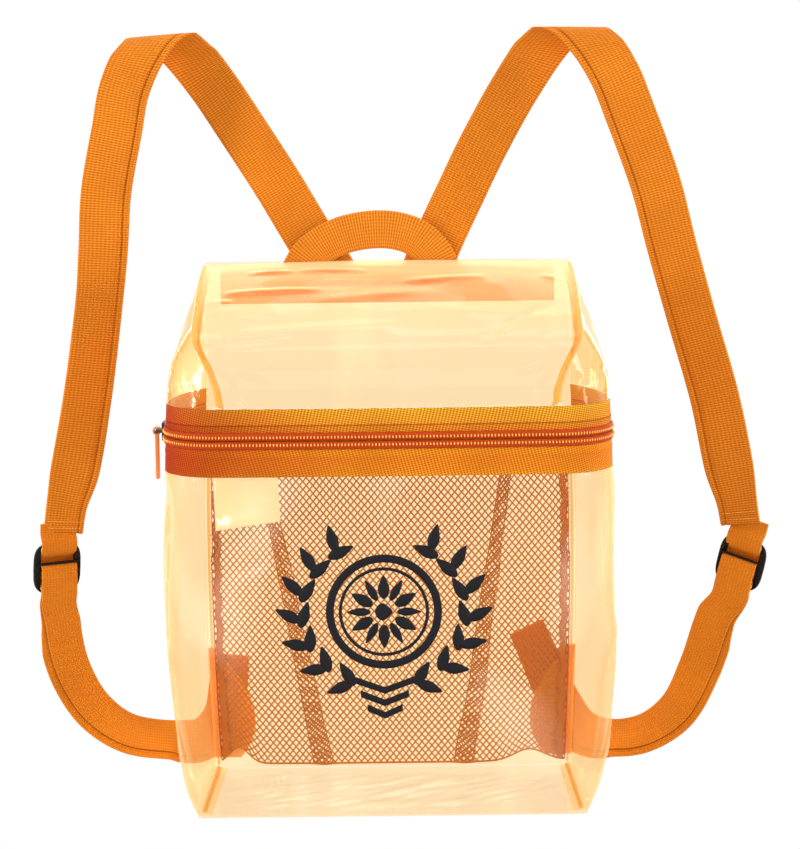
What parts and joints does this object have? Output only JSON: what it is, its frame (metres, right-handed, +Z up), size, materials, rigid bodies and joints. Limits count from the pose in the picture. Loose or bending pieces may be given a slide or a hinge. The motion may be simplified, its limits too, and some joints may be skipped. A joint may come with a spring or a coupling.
{
  "type": "clear film backpack held up by its shoulder straps",
  "caption": "Clear tinted film backpack: boxy hollow body, zip band with slider and pull, rounded hood, inner net pocket, carry handle and two adjustable shoulder straps.",
  "frame": {"origin": "where the bag hangs: on its centre plane, level with the crests of the two shoulder straps", "axes": "+X to the viewer's right as the front is seen, the front faces -Y, +Z up"},
  "size_m": [0.4866, 0.1443, 0.4983],
  "materials": {
    "film": "clear orange-tinted PVC film, glossy",
    "film_edge": "doubled raw edges of the tinted film, deeper orange",
    "zip_tape": "woven polyester zip tape in twill",
    "zip_coil": "nylon coil teeth",
    "zip_metal": "orange enamelled zinc",
    "net": "knitted polyester diamond net",
    "label": "bare pale woven label",
    "webbing": "ribbed polypropylene webbing, matt",
    "black_plastic": "moulded black plastic"
  },
  "bodies": {
    "bag": {"bottom_panel": "film", "lower_shell": "film", "back_panel": "film", "hood_panel": "film", "hood_gusset_left": "film", "hood_gusset_right": "film", "hood_seam_left": "film_edge", "hood_seam_right": "film_edge", "back_seam_left": "film_edge", "back_seam_right": "film_edge", "zip_tape_upper": "zip_tape", "zip_tape_lower": "zip_tape", "zip_coil_upper": "zip_coil", "zip_coil_lower": "zip_coil", "zip_slider": "zip_metal", "net_pocket": "net", "care_label": "label", "yoke_band": "webbing", "carry_handle": "webbing", "shoulder_strap_left": "webbing", "shoulder_strap_right": "webbing", "adjuster_web_left": "webbing", "adjuster_web_right": "webbing", "tri_glide_left": "black_plastic", "tri_glide_right": "black_plastic", "anchor_tab_left": "webbing", "anchor_tab_right": "webbing"},
    "pull": {"zip_pull": "zip_metal"}
  },
  "joints": [
    {"name": "pull_hinge", "type": "hinge", "parent": "bag", "child": "pull", "pos_m": [-0.1476, -0.0618, -0.253], "axis": [0, 1, 0], "range_deg": [0, 160]}
  ]
}
